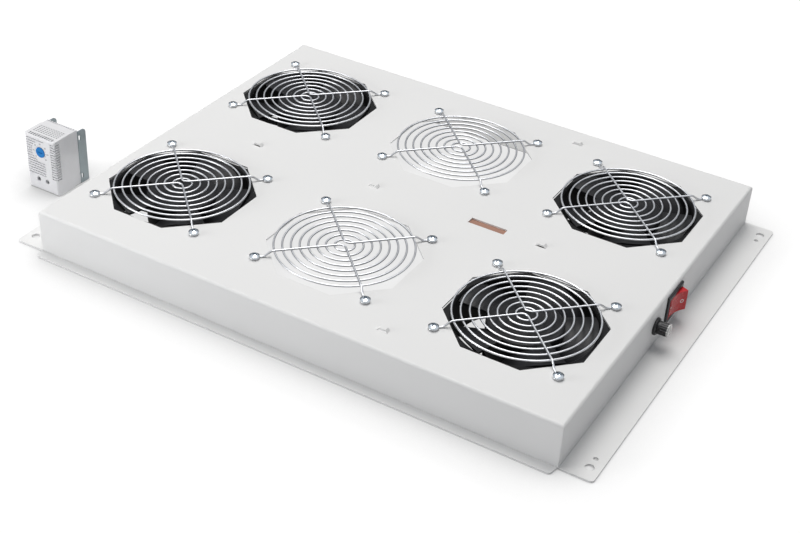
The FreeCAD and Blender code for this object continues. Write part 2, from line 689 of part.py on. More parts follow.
# Screws and nuts
def make_screws():
    screw = new_body("screw_form")
    profile = sketch_on(screw, "XZ_Plane")
    crown = "((head_size / 2)^2 + head_crown^2) / (2 * head_crown)"
    draw_outline(profile, (
        ("0", "-screw_length"), ("screw_size / 2", "-screw_length"), ("screw_size / 2", "0"),
        ("head_size / 2", "0"), ("head_size / 2", "head_height - head_crown", crown, "left"),
        ("0", "head_height")))
    revolve(screw, profile)
    recess = sketch_on(screw, "XY_Plane", "head_height")
    arm, half = "recess_span / 2", "recess_width / 2"
    draw_outline(recess, (
        (arm, "-" + half), (arm, half), (half, half), (half, arm), ("-" + half, arm), ("-" + half, half),
        ("-" + arm, half), ("-" + arm, "-" + half), ("-" + half, "-" + half), ("-" + half, "-" + arm),
        (half, "-" + arm), (half, "-" + half)))
    pocket(screw, recess, "recess_depth")
    places = [place for column in COLUMNS for row in ROWS for place in screw_places(column, row)]
    group_of(screw, "guard_screws", [(x, y, "tray_height + wire") for x, y in places])

    nut = new_body("nut_form")
    hexagon = sketch_on(nut, "XY_Plane")
    flat, corner = "nut_size / 2", "nut_size / sqrt(3)"
    draw_outline(hexagon, (
        (corner, "0"), (corner + " / 2", flat), ("-%s / 2" % corner, flat),
        ("-" + corner, "0"), ("-%s / 2" % corner, "-" + flat), (corner + " / 2", "-" + flat)))
    draw_circles(hexagon, [("0", "0")], "screw_size / 2")
    pad(nut, hexagon, "nut_height", reverse=True)
    under_plate = "tray_height - sheet"
    nut_places = []
    for column in COLUMNS:
        height = under_plate if column == 0 else under_plate + " - fan_flange"
        for row in ROWS:
            nut_places += [(x, y, height) for x, y in screw_places(column, row)]
    group_of(nut, "guard_nuts", nut_places)


# Fans
def make_fan_frame():
    body = new_body("frame_form")
    square = sketch_on(body, "XY_Plane")
    draw_box(square, "0", "0", "fan_size", "fan_size")
    base = pad(body, square, "fan_flange")
    duct = sketch_on(body, "XY_Plane")
    draw_circles(duct, [("0", "0")], "duct_bore / 2 + duct_wall")
    pad(body, duct, "fan_height")
    top = sketch_on(body, "XY_Plane", "fan_height")
    draw_box(top, "0", "0", "fan_size", "fan_size")
    flanges = pad(body, top, "fan_flange", reverse=True)
    reach = size("fan_size / 2")
    rounded = dress(body, "Fillet", "fan_corner", flanges,
                    lambda box: upright(box) and abs(abs(box.XMin) - reach) < 1e-3)
    bore = sketch_on(body, "XY_Plane", "fan_height")
    draw_circles(bore, [("0", "0")], "duct_bore / 2")
    holes = [("%d * screw_square / 2" % across, "%d * screw_square / 2" % back)
             for across in (-1, 1) for back in (-1, 1)]
    draw_circles(bore, holes, "screw_size / 2 + screw_clearance")
    bored = pocket(body, bore, "fan_height")
    mouth = size("duct_bore")
    heights = (0, size("fan_height"))
    dress(body, "Chamfer", "duct_flare", bored,
          lambda box: abs(box.XLength - mouth) < 0.1 and any(level(box, height) for height in heights))

    plate = sketch_on(body, "XY_Plane")
    draw_circles(plate, [("0", "0")], "hub_radius")
    pad(body, plate, "motor_plate")
    strut = sketch_on(body, "XY_Plane")
    inner, outer = "hub_radius - strut_overlap", "(duct_bore + duct_wall) / 2"
    draw_outline(strut, (
        (inner, "-strut_width / 2 - strut_lean"), (outer, "-strut_width / 2"),
        (outer, "strut_width / 2"), (inner, "strut_width / 2 - strut_lean")))
    around(body, pad(body, strut, "strut_height"), STRUT_COUNT)
    tube = sketch_on(body, "XY_Plane")
    draw_circles(tube, [("0", "0")], "tube_radius")
    pad(body, tube, "tube_height")
    bearing_bore = sketch_on(body, "XY_Plane", "tube_height")
    draw_circles(bearing_bore, [("0", "0")], "bearing_radius")
    pocket(body, bearing_bore, "tube_height - motor_plate / 2")
    return body


def make_impeller():
    body = new_body("impeller_blank")
    hub = sketch_on(body, "XY_Plane", "hub_bottom")
    draw_circles(hub, [("0", "0")], "hub_radius")
    solid_hub = pad(body, hub, "fan_height - hub_drop - hub_bottom")
    face = size("fan_height - hub_drop")
    dress(body, "Fillet", "hub_round", solid_hub, lambda box: level(box, face))

    tip_reach = "duct_bore / 2 + blade_over"
    top, low = "fan_height - hub_drop - blade_drop", "blade_bottom"
    sections = []
    for reach, lead, trail, arch in (
            ("hub_radius / 2", "root_lead", "root_trail", "root_arch"),
            (tip_reach, "tip_lead", "tip_trail", "blade_arch")):
        section = sketch_on(body, "YZ_Plane", reach)
        draw_outline(section, (
            (lead, top, arch, "left"), ("-" + trail, low + " + blade_edge"),
            ("-" + trail, low, arch, "right"), (lead, top + " - blade_thick")))
        sections.append(section)
    blade = body.newObject("PartDesign::AdditiveLoft", "blade")
    blade.Profile = sections[0]
    blade.Sections = [sections[1]]
    blade.Ruled = True
    doc.recompute()
    around(body, blade, BLADE_COUNT)

    envelope = doc.addObject("Part::Cylinder", "blade_envelope")
    envelope.setExpression("Radius", bind("duct_bore / 2 - blade_play"))
    envelope.setExpression("Height", bind("fan_height"))
    trimmed = doc.addObject("Part::Common", "trimmed_blank")
    trimmed.Base, trimmed.Tool = body, envelope
    ceiling = "fan_height - hub_drop - hub_wall"
    inside = turned("hub_inside", (
        ("0", "0"), ("hub_radius - hub_wall", "0"), ("hub_radius - hub_wall", ceiling),
        ("boss_radius", ceiling), ("boss_radius", "tube_height + boss_gap"),
        ("shaft_radius", "tube_height + boss_gap"), ("shaft_radius", ceiling), ("0", ceiling)))
    form = doc.addObject("Part::Cut", "impeller_form")
    form.Base, form.Tool = trimmed, inside
    doc.recompute()
    return form


def make_fans():
    frame = make_fan_frame()
    impeller = make_impeller()
    ceiling = "fan_height - hub_drop - hub_wall"
    shaft = turned("shaft_form", ring_points("0", "shaft_radius", "motor_plate / 2 + shaft_gap", ceiling))
    yoke = turned("yoke_form", ring_points(
        "hub_radius - hub_wall - yoke_wall", "hub_radius - hub_wall", "hub_bottom", ceiling))
    inner = "shaft_radius + shaft_play"
    bearing = turned("bearing_form", ring_points(inner, "bearing_radius", "0", "bearing_height"))
    low, waist = "motor_plate + stator_gap", "stator_radius - coil_step"
    stator = turned("stator_form", (
        ("tube_radius", low), (waist, low), ("stator_radius", low + " + coil_step"),
        ("stator_radius", "tube_height - coil_step"), (waist, "tube_height"), ("tube_radius", "tube_height")))
    base_z = "tray_height - sheet - fan_height"
    bearings = []
    for n, (column, row, turn) in enumerate(FANS, start=1):
        x, y = column_x(column), row_y(row)
        copy_of(frame, "fan_frame_%d" % n, x, y, base_z)
        copy_of(impeller, "fan_impeller_%d" % n, x, y, base_z, turn)
        copy_of(shaft, "fan_shaft_%d" % n, x, y, base_z)
        copy_of(yoke, "rotor_ring_%d" % n, x, y, base_z)
        copy_of(stator, "fan_stator_%d" % n, x, y, base_z)
        bearings += [(x, y, base_z + " + motor_plate / 2"),
                     (x, y, base_z + " + tube_height - bearing_height")]
    group_of(bearing, "fan_bearings", bearings)


# Rocker switch
def make_switch():
    housing = new_body("switch_housing")
    inner_length = "2 * rocker_radius + 2 * rocker_play"
    inner_height = "rocker_height + 2 * rocker_play"
    bezel = sketch_on(housing, "YZ_Plane", "tray_length / 2")
    draw_box(bezel, "switch_y", "switch_z", "bezel_length", "bezel_height")
    plate = pad(housing, bezel, "bezel_thick")
    face = size("tray_length / 2 + bezel_thick")
    dress(housing, "Chamfer", "bezel_thick / 3", plate,
          lambda box: box.XLength < 1e-3 and abs(box.XMin - face) < 1e-3)
    block = sketch_on(housing, "YZ_Plane", "tray_length / 2")
    draw_box(block, "switch_y", "switch_z", "housing_length", "housing_height")
    pad(housing, block, "housing_depth", reverse=True)
    well = sketch_on(housing, "YZ_Plane", "tray_length / 2 + bezel_thick")
    draw_box(well, "switch_y", "switch_z", inner_length, inner_height)
    pocket(housing, well, "housing_well")
    pivot_reach = "rocker_height / 2 + pivot_length + pivot_end"
    pivots = sketch_on(housing, "XY_Plane", "switch_z + " + pivot_reach)
    draw_circles(pivots, [("tray_length / 2 + rocker_pivot", "switch_y")], "pivot_radius + pivot_play")
    pocket(housing, pivots, "2 * (%s)" % pivot_reach)
    keep(housing, "switch_housing")

    rocker = new_body("switch_rocker")
    outline = sketch_on(rocker, "XY_Plane", "-rocker_height / 2")
    tip_y = "sqrt(rocker_radius^2 - rocker_out^2)"
    root_y = "sqrt(rocker_radius^2 - rocker_skirt^2)"
    draw_outline(outline, (
        ("rocker_out", "-" + tip_y, "2 * rocker_radius", "right"),
        ("rocker_out", tip_y, "rocker_radius", "left"),
        ("-rocker_skirt", root_y), ("-rocker_deep", "rocker_foot / 2"), ("-rocker_deep", "-rocker_foot / 2"),
        ("-rocker_skirt", "-" + root_y, "rocker_radius", "left")))
    pad(rocker, outline, "rocker_height")
    pins_sketch = sketch_on(rocker, "XY_Plane", "-rocker_height / 2 - pivot_length")
    draw_circles(pins_sketch, [("0", "0")], "pivot_radius")
    pad(rocker, pins_sketch, "rocker_height + 2 * pivot_length")
    keep(rocker, "switch_rocker", "tray_length / 2 + rocker_pivot", "switch_y", "switch_z",
         turn=size("-rocker_tilt"))

    tab = new_body("switch_tab_form")
    blade = sketch_on(tab, "YZ_Plane")
    draw_box(blade, "0", "0", "tab_thick", "tab_width")
    pad(tab, blade, "tab_length", reverse=True)
    places = [("tray_length / 2 - housing_depth",
               "switch_y + %d * switch_tab_y" % back, "switch_z + %d * switch_tab_z" % up)
              for back in (-1, 1) for up in (-1, 1)]
    group_of(tab, "switch_terminals", places)


# Fuse holder
def make_fuse_holder():
    along_x = dict(x="tray_length / 2", y="fuse_y", z="fuse_z", axis=(0, 1, 0), turn=90)
    bore = "carrier_radius + carrier_play"
    holder = turned("fuse_holder_body", (
        (bore, "fuse_flange"), (bore, "-barrel_length + barrel_floor"),
        ("0", "-barrel_length + barrel_floor"),
        ("0", "-barrel_length"), ("barrel_radius", "-barrel_length"), ("barrel_radius", "0"),
        ("fuse_flange_radius", "0"), ("fuse_flange_radius", "fuse_flange - fuse_chamfer"),
        ("fuse_flange_radius - fuse_chamfer", "fuse_flange")))
    keep(holder, "fuse_holder_body", **along_x)

    nut = new_body("fuse_nut")
    hexagon = sketch_on(nut, "XY_Plane", "-sheet")
    flat, corner = "fuse_nut / 2", "fuse_nut / sqrt(3)"
    draw_outline(hexagon, (
        (corner, "0"), (corner + " / 2", flat), ("-%s / 2" % corner, flat),
        ("-" + corner, "0"), ("-%s / 2" % corner, "-" + flat), (corner + " / 2", "-" + flat)))
    draw_circles(hexagon, [("0", "0")], "barrel_radius")
    pad(nut, hexagon, "fuse_nut_thick", reverse=True)
    keep(nut, "fuse_nut", **along_x)

    carrier_end = "-barrel_length + barrel_floor + carrier_gap"
    carrier_head = "fuse_flange + cap_gap + cap_seat - carrier_play"
    carrier = turned("fuse_carrier", (
        ("fuse_radius", carrier_end), ("carrier_radius", carrier_end),
        ("carrier_radius", carrier_head), ("0", carrier_head),
        ("0", carrier_end + " + fuse_length"), ("fuse_radius", carrier_end + " + fuse_length")))
    keep(carrier, "fuse_carrier", **along_x)
    link = turned("fuse_link", (
        ("0", carrier_end), ("fuse_radius", carrier_end), ("fuse_radius", carrier_end + " + fuse_length"),
        ("0", carrier_end + " + fuse_length")))
    keep(link, "fuse_link", **along_x)

    cap = new_body("fuse_cap")
    profile = sketch_on(cap, "XZ_Plane")
    low, high = "fuse_flange + cap_gap", "fuse_flange + cap_gap + cap_length"
    draw_outline(profile, (
        (bore, low), ("cap_radius", low), ("cap_radius", high + " - fuse_chamfer"),
        ("cap_radius - fuse_chamfer", high),
        ("0", high), ("0", low + " + cap_seat"), (bore, low + " + cap_seat")))
    revolve(cap, profile)
    flute = sketch_on(cap, "XY_Plane", high)
    draw_circles(flute, [("cap_radius + flute_out", "0")], "flute_radius")
    around(cap, pocket(cap, flute, "cap_length - flute_stop"), FLUTE_COUNT)
    slot = sketch_on(cap, "XY_Plane", high)
    draw_box(slot, "0", "0", "cap_slot_length", "cap_slot_width")
    pocket(cap, slot, "cap_slot_width")
    keep(cap, "fuse_cap", **along_x)

    tab = new_body("fuse_tab_form")
    blade = sketch_on(tab, "YZ_Plane")
    draw_box(blade, "0", "0", "tab_width", "tab_thick")
    pad(tab, blade, "tab_length", reverse=True)
    group_of(tab, "fuse_terminals", [
        ("tray_length / 2 - barrel_length", "fuse_y", "fuse_z + %d * fuse_tab_rise" % up)
        for up in (-1, 1)])


# Wiring board under the slot
def make_board():
    under_plate = "tray_height - sheet"
    board_x = SLOT_X + " + (slot_length - board_length) / 2 - board_end"
    board = new_body("insulation_board")
    outline = sketch_on(board, "XY_Plane", under_plate)
    draw_box(outline, board_x, "0", "board_length", "board_width")
    sheet_pad = pad(board, outline, "board_thick", reverse=True)
    dress(board, "Fillet", "board_round", sheet_pad, upright)
    keep(board, "insulation_board")

    block = new_body("terminal_block")
    base = sketch_on(block, "XY_Plane", under_plate + " - board_thick")
    draw_box(base, board_x, "0", "block_length", "block_width")
    pad(block, base, "block_height", reverse=True)
    holes = sketch_on(block, "XY_Plane", under_plate + " - board_thick - block_height")
    places = [("%s + %d * block_pitch / 2" % (board_x, 2 * n - TERMINAL_COUNT + 1), "0")
              for n in range(TERMINAL_COUNT)]
    draw_circles(holes, places, "block_screw")
    pocket(block, holes, "block_bore", reverse=True)
    keep(block, "terminal_block")
    screw = turned("block_screw_form", ring_points("0", "block_screw", "0", "block_screw_length"))
    seat = under_plate + " - board_thick - block_height + block_bore - block_screw_length"
    group_of(screw, "block_screws", [(x, y, seat) for x, y in places])


# Cable grommet in the rear wall
def make_grommet():
    rim, neck = "grommet_hole / 2 + grommet_rim", "grommet_hole / 2"
    grommet = turned("cable_grommet", (
        ("grommet_bore / 2", "-grommet_lip"), (rim, "-grommet_lip"), (rim, "0"), (neck, "0"),
        (neck, "sheet"), (rim, "sheet"), (rim, "sheet + grommet_lip"),
        ("grommet_bore / 2", "sheet + grommet_lip")))
    keep(grommet, "cable_grommet", "grommet_x", "tray_depth / 2 - sheet", "grommet_z", (1, 0, 0), -90)


# Thermostat
def make_thermostat():
    place = dict(x="stat_x", y="stat_y", z="0")
    shell_depth = "stat_depth - stat_base"
    cover = new_body("thermostat_cover")
    outline = sketch_on(cover, "XZ_Plane", "-(%s)" % shell_depth)
    draw_box(outline, "0", "stat_height / 2", "stat_width", "stat_height")
    block = pad(cover, outline, shell_depth)
    dress(cover, "Fillet", "stat_round", block,
          lambda box: abs(box.YMin) < 1e-3 and box.YLength < 1e-3 or upright(box) and box.YMin < 1e-3)
    right, left = "stat_width / 2", "-stat_width / 2"
    wrapped = sketch_on(cover, "XY_Plane", "groove_low")
    draw_outline(wrapped, (
        (right + " - groove_wrap", "-groove_depth"), (right + " + groove_depth", "-groove_depth"),
        (right + " + groove_depth", "groove_wrap"), (right + " - groove_depth", "groove_wrap"),
        (right + " - groove_depth", "groove_depth"), (right + " - groove_wrap", "groove_depth")))
    along(cover, pocket(cover, wrapped, "groove_width", reverse=True), "Z_Axis", "groove_rise", GROOVE_COUNT)
    straight = sketch_on(cover, "XY_Plane", "groove_low")
    draw_outline(straight, (
        (left + " - groove_depth", "-groove_depth"), (left + " + groove_reach", "-groove_depth"),
        (left + " + groove_reach", "groove_depth"), (left + " - groove_depth", "groove_depth")))
    along(cover, pocket(cover, straight, "groove_width", reverse=True), "Z_Axis", "groove_rise", GROOVE_COUNT)
    plain = sketch_on(cover, "XZ_Plane", "-stat_wall")
    draw_circles(plain, [("0", "dial_z")], "dial_plain")
    pad(cover, plain, "stat_wall")
    hollow = sketch_on(cover, "XZ_Plane", "-(%s)" % shell_depth)
    draw_box(hollow, "0", "stat_height / 2", "stat_width - 2 * stat_wall", "stat_height - 2 * stat_wall")
    pocket(cover, hollow, shell_depth + " - stat_wall", reverse=True)
    vents = sketch_on(cover, "XY_Plane", "stat_height")
    for n in range(VENT_ROWS):
        draw_box(vents, "-vent_span / 2", "vent_front + %d * vent_pitch" % n, "vent_length", "vent_width")
    along(cover, pocket(cover, vents, "2 * stat_wall"), "X_Axis", "vent_span", VENT_COUNT)
    edge = sketch_on(cover, "XY_Plane", "stat_height")
    draw_box(edge, "-vent_span / 2", "front_vent_y", "front_vent_width", "front_vent_length")
    along(cover, pocket(cover, edge, "2 * stat_wall"), "X_Axis", "vent_span", FRONT_VENT_COUNT)
    front = sketch_on(cover, "XZ_Plane")
    draw_circles(front, [("0", "dial_z")], "dial_radius + dial_play")
    draw_circles(front, [("%d * clamp_pitch / 2" % side, "clamp_z") for side in (-1, 1)], "clamp_hole / 2")
    pocket(cover, front, "2 * stat_wall")
    keep(cover, "thermostat_cover", **place)

    base = new_body("thermostat_base")
    rear = sketch_on(base, "XZ_Plane", "-stat_depth")
    draw_box(rear, "0", "stat_height / 2", "stat_width - 2 * base_step", "stat_height - 2 * base_step")
    pad(base, rear, "stat_base")
    notch = sketch_on(base, "XY_Plane", "stat_height - base_step")
    draw_box(notch, "-notch_span / 2", "stat_depth - notch_width / 2", "notch_length", "notch_width")
    along(base, pocket(base, notch, "notch_depth"), "X_Axis", "notch_span", NOTCH_COUNT)
    inner = sketch_on(base, "XZ_Plane", "-(%s)" % shell_depth)
    draw_box(inner, "0", "clamp_z", "clamp_block_width", "clamp_block_height")
    pad(base, inner, shell_depth + " - clamp_back")
    post = sketch_on(base, "XZ_Plane", "-(%s)" % shell_depth)
    draw_circles(post, [("0", "dial_z")], "dial_post")
    post_front = "dial_thick - dial_out + post_gap"
    pad(base, post, "%s - (%s)" % (shell_depth, post_front))
    stem_bore = sketch_on(base, "XZ_Plane", "-(%s)" % post_front)
    draw_circles(stem_bore, [("0", "dial_z")], "dial_stem + pivot_play")
    pocket(base, stem_bore, "dial_stem_length + post_gap")
    keep(base, "thermostat_base", **place)

    dial_back = "dial_out - dial_thick"
    dial = turned("thermostat_dial", (
        ("0", dial_back + " - dial_stem_length"), ("dial_stem", dial_back + " - dial_stem_length"),
        ("dial_stem", dial_back), ("dial_radius", dial_back), ("dial_radius", "dial_out"),
        ("0", "dial_out")))
    slot = sketch_on(dial, "XY_Plane", "dial_out")
    draw_box(slot, "0", "0", "dial_slot_length", "dial_slot_width")
    pocket(dial, slot, "dial_slot_depth")
    keep(dial, "thermostat_dial", "stat_x", "stat_y", "dial_z", (1, 0, 0), 90)

    clamp = turned("clamp_form", ring_points("0", "clamp_radius", "0", "clamp_length"))
    screws = doc.addObject("Part::Feature", "clamp_screws")
    pieces = []
    for side in (-1, 1):
        piece = clamp.Shape.copy()
        piece.rotate(FreeCAD.Vector(0, 0, 0), FreeCAD.Vector(1, 0, 0), 90)
        across = size("%d * clamp_pitch / 2" % side)
        piece.translate(FreeCAD.Vector(across, size("clamp_back"), size("clamp_z")))
        pieces.append(piece)
    screws.Shape = Part.makeCompound(pieces)
    keep(screws, "clamp_screws", **place)

    clip = new_body("thermostat_clip")
    channel = sketch_on(clip, "XY_Plane")
    half, inside = "stat_width / 2", "(stat_width / 2 - bracket_sheet)"
    front_y, back_y = "stat_depth", "stat_depth + bracket_depth"
    draw_outline(channel, (
        ("-" + half, front_y), (half, front_y), (half, back_y), (inside, back_y),
        (inside, front_y + " + bracket_sheet"), ("-" + inside, front_y + " + bracket_sheet"),
        ("-" + inside, back_y), ("-" + half, back_y)))
    sides = pad(clip, channel, "bracket_height")
    far, top = size(back_y), size("bracket_height")
    dress(clip, "Fillet", "bracket_round", sides,
          lambda box: level(box, top) and box.YLength < 1e-3 and abs(box.YMin - far) < 1e-3)
    windows = sketch_on(clip, "YZ_Plane", "stat_width / 2")
    for height in ("bracket_window_end", "bracket_height - bracket_window_end"):
        draw_box(windows, "stat_depth + bracket_window_y", height,
                 "bracket_window_width", "bracket_window_height")
    pocket(clip, windows, "stat_width")
    keep(clip, "thermostat_clip", **place)


make_tray()
make_guards()
make_screws()
make_fans()
make_switch()
make_fuse_holder()
make_board()
make_grommet()
make_thermostat()
doc.recompute()

for item in doc.Objects:
    if "Invalid" in item.State or "Error" in item.State:
        raise RuntimeError("%s failed: %s" % (item.Label, item.State))
for label, item in nodes.items():
    if item.Shape.isNull() or not item.Shape.isValid():
        raise RuntimeError("%s has no valid shape" % label)

os.makedirs("parts", exist_ok=True)
for label, item in nodes.items():
    item.Shape.exportStep(os.path.join("parts", label + ".step"))
    print("%-22s %2d solids %10.1f mm3" % (label, len(item.Shape.Solids), item.Shape.Volume))
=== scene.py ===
import math

import bmesh
import bpy
from mathutils import Matrix, Vector


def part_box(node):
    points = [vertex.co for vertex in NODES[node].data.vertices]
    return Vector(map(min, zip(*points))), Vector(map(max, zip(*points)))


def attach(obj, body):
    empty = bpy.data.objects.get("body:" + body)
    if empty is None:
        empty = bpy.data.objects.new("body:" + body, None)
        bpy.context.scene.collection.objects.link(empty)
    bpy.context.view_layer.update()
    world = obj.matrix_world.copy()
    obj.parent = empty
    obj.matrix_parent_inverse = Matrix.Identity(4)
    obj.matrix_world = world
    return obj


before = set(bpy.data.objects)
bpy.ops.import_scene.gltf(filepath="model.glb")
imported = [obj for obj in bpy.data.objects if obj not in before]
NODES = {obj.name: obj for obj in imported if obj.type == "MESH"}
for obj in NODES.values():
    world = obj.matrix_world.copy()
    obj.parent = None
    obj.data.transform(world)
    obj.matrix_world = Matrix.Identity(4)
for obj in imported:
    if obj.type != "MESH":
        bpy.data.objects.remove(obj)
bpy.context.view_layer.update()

# The dressed model of a rack fan tray, laid out as an add-on. Metres, in the frame of the solids.
bl_info = {
    "name": "Rack Fan Tray",
    "version": (1, 0, 0),
    "blender": (4, 5, 0),
    "location": "View3D > Sidebar > Fan Tray",
    "description": "Finishes, small fittings and stage of a rack fan tray",
    "category": "Object",
}

MM = 0.001
FAN_COUNT = 4
GUARD_COUNT = 6


# Settings
class FanTrayColours(bpy.types.PropertyGroup):
    tray_paint: bpy.props.FloatVectorProperty(
        name="Tray paint", description="Powder coat of the folded tray", subtype="COLOR",
        default=(0.80, 0.80, 0.795), min=0, max=1)
    fan_black: bpy.props.FloatVectorProperty(
        name="Fan black", description="Enamel of the fan frames", subtype="COLOR",
        default=(0.008, 0.008, 0.0085), min=0, max=1)
    blade_black: bpy.props.FloatVectorProperty(
        name="Blade black", description="Moulded impellers", subtype="COLOR",
        default=(0.012, 0.012, 0.0135), min=0, max=1)
    rocker_red: bpy.props.FloatVectorProperty(
        name="Rocker red", description="Moulded rocker of the switch", subtype="COLOR",
        default=(0.52, 0.008, 0.014), min=0, max=1)
    board_brown: bpy.props.FloatVectorProperty(
        name="Board brown", description="Pressed board under the wiring slot", subtype="COLOR",
        default=(0.36, 0.19, 0.135), min=0, max=1)
    stat_grey: bpy.props.FloatVectorProperty(
        name="Thermostat grey", description="Moulded cover of the thermostat", subtype="COLOR",
        default=(0.76, 0.76, 0.775), min=0, max=1)
    dial_blue: bpy.props.FloatVectorProperty(
        name="Dial blue", description="Dial of the thermostat", subtype="COLOR",
        default=(0.0, 0.185, 0.53), min=0, max=1)
    clip_steel: bpy.props.FloatVectorProperty(
        name="Clip steel", description="Passivated zinc of the rail clip", subtype="COLOR",
        default=(0.34, 0.39, 0.41), min=0, max=1)


class FanTraySizes(bpy.types.PropertyGroup):
    weld_width: bpy.props.FloatProperty(
        name="Weld width", description="Radius of a weld bead on a guard", default=1.15 * MM,
        min=0.2 * MM, unit="LENGTH")
    weld_height: bpy.props.FloatProperty(
        name="Weld height", description="Half height of a weld bead", default=0.55 * MM,
        min=0.1 * MM, unit="LENGTH")
    mark_rise: bpy.props.FloatProperty(
        name="Mark rise", description="Printed marks above their surface", default=0.04 * MM,
        min=0.01 * MM, unit="LENGTH")
    ring_mark: bpy.props.FloatProperty(
        name="Ring mark", description="Outside radius of the ring on the rocker", default=1.75 * MM,
        min=0.5 * MM, unit="LENGTH")
    tick_ring: bpy.props.FloatProperty(
        name="Tick ring", description="Radius of the circle of dial ticks", default=6.3 * MM,
        min=1 * MM, unit="LENGTH")
    number_ring: bpy.props.FloatProperty(
        name="Number ring", description="Radius of the circle of dial numbers", default=8.2 * MM,
        min=1 * MM, unit="LENGTH")
    number_height: bpy.props.FloatProperty(
        name="Number height", description="Height of a dial number", default=1.5 * MM,
        min=0.2 * MM, unit="LENGTH")


class FanTrayStage(bpy.types.PropertyGroup):
    lens: bpy.props.FloatProperty(
        name="Lens", description="Focal length on a 36 mm wide sensor", default=64.63,
        min=10, unit="CAMERA")
    camera_place: bpy.props.FloatVectorProperty(
        name="Camera place", description="Where the camera stands", default=(0.50634, -0.93064, 0.69388),
        subtype="TRANSLATION", unit="LENGTH")
    camera_turn: bpy.props.FloatVectorProperty(
        name="Camera turn", description="How the camera is turned", subtype="EULER",
        default=(math.radians(55.534), math.radians(-2.906), math.radians(30.766)))
    key_power: bpy.props.FloatProperty(
        name="Key lamp", description="Power of the large lamp overhead", default=53.3,
        min=0, unit="POWER")
    fill_power: bpy.props.FloatProperty(
        name="Fill lamp", description="Power of the lamp at the front left", default=6.4,
        min=0, unit="POWER")
    sky_level: bpy.props.FloatProperty(
        name="Sky level", description="Brightness of the even light from all round", default=0.235,
        min=0)


# Shader arithmetic
class Wire:
    """A shader socket that takes part in arithmetic with numbers and other sockets."""

    def __init__(self, finish, socket):
        self.finish = finish
        self.socket = socket

    def reckon(self, operation, first, second):
        return self.finish.add("ShaderNodeMath", {0: first, 1: second}, {"operation": operation})

    def __add__(self, other):
        return self.reckon("ADD", self, other)

    def __radd__(self, other):
        return self.reckon("ADD", other, self)

    def __sub__(self, other):
        return self.reckon("SUBTRACT", self, other)

    def __rsub__(self, other):
        return self.reckon("SUBTRACT", other, self)

    def __mul__(self, other):
        return self.reckon("MULTIPLY", self, other)

    def above(self, limit):
        return self.reckon("GREATER_THAN", self, limit)

    def below(self, limit):
        return self.reckon("LESS_THAN", self, limit)

    def within(self, limit):
        return self.finish.add("ShaderNodeMath", {0: self}, {"operation": "ABSOLUTE"}).below(limit)


class Shading:
    """A shader tree, built node by node."""

    def __init__(self, holder):
        holder.use_nodes = True
        self.tree = holder.node_tree
        self.tree.nodes.clear()

    def feed(self, socket, value):
        if isinstance(value, Wire):
            self.tree.links.new(value.socket, socket)
        else:
            socket.default_value = value

    def add(self, kind, inputs=None, settings=None, output=0):
        """Add a node of a kind and give back one of its outputs; inputs are values or wires."""
        node = self.tree.nodes.new(kind)
        for name, value in (settings or {}).items():
            setattr(node, name, value)
        for name, value in (inputs or {}).items():
            self.feed(node.inputs[name], value)
        return Wire(self, node.outputs[output])

    def blend(self, amount, first, second):
        """A colour between two colours."""
        node = self.tree.nodes.new("ShaderNodeMix")
        node.data_type = "RGBA"
        self.feed(node.inputs["Factor"], amount)
        self.feed(node.inputs["A"], first if isinstance(first, Wire) else (*first, 1))
        self.feed(node.inputs["B"], second if isinstance(second, Wire) else (*second, 1))
        return Wire(self, node.outputs["Result"])

    def close(self, kind, surface):
        """End the tree in an output node of a kind."""
        self.feed(self.tree.nodes.new(kind).inputs["Surface"], surface)

    def place(self):
        """The object coordinates, in metres."""
        return self.add("ShaderNodeTexCoord", output="Object")

    def axes(self):
        """The object coordinates as three wires."""
        parts = self.tree.nodes.new("ShaderNodeSeparateXYZ")
        self.feed(parts.inputs[0], self.place())
        return [Wire(self, socket) for socket in parts.outputs]

    def seen(self, *kinds):
        """1 for rays of the kinds named, 0 for all others."""
        total = 0
        for kind in kinds:
            total = self.add("ShaderNodeLightPath", output=kind) + total
        return self.add("ShaderNodeMath", {0: total, 1: 1.0}, {"operation": "MINIMUM"})


class Finish(Shading):
    """A procedural material."""

    def __init__(self, name, **fixed):
        self.material = bpy.data.materials.new(name)
        super().__init__(self.material)
        self.shader = self.tree.nodes.new("ShaderNodeBsdfPrincipled")
        self.close("ShaderNodeOutputMaterial", Wire(self, self.shader.outputs[0]))
        for socket, amount in fixed.items():
            self.set(socket.replace("_", " ").title().replace("Ior", "IOR"), amount)

    def set(self, socket, value):
        self.feed(self.shader.inputs[socket], value)

    def noise(self, scale, detail=2, stretch=None):
        """Soft random values from 0 to 1; the scale counts blotches per metre."""
        place = self.place()
        if stretch:
            place = self.add("ShaderNodeVectorMath", {0: place, 1: stretch}, {"operation": "MULTIPLY"})
        return self.add("ShaderNodeTexNoise", {"Vector": place, "Scale": scale, "Detail": detail})

    def wave(self, axis, rate):
        """A wave from -1 to 1 along an axis; the rate is in radians per metre."""
        return self.add("ShaderNodeMath", {0: axis * rate}, {"operation": "SINE"})

    def bump(self, height, depth, strength):
        """Fine relief; the depth is in metres."""
        self.set("Normal", self.add("ShaderNodeBump", {
            "Height": height, "Distance": depth, "Strength": strength}))


def shade(colour, amount):
    """A colour made lighter or darker."""
    return tuple(min(1.0, part * amount) for part in colour[:3])


# Finishes
def powder_coat(name, colour):
    """Fine-textured powder coat: a tight pebble with a faint slow drift of tone."""
    coat = Finish(name)
    pebble = coat.noise(scale=1500, detail=3)
    drift = coat.noise(scale=9)
    coat.set("Base Color", coat.blend(drift * 0.6 + pebble * 0.4, shade(colour, 0.97), shade(colour, 1.02)))
    coat.set("Roughness", pebble * 0.12 + 0.46)
    coat.bump(pebble, depth=0.06 * MM, strength=0.5)
    return coat.material


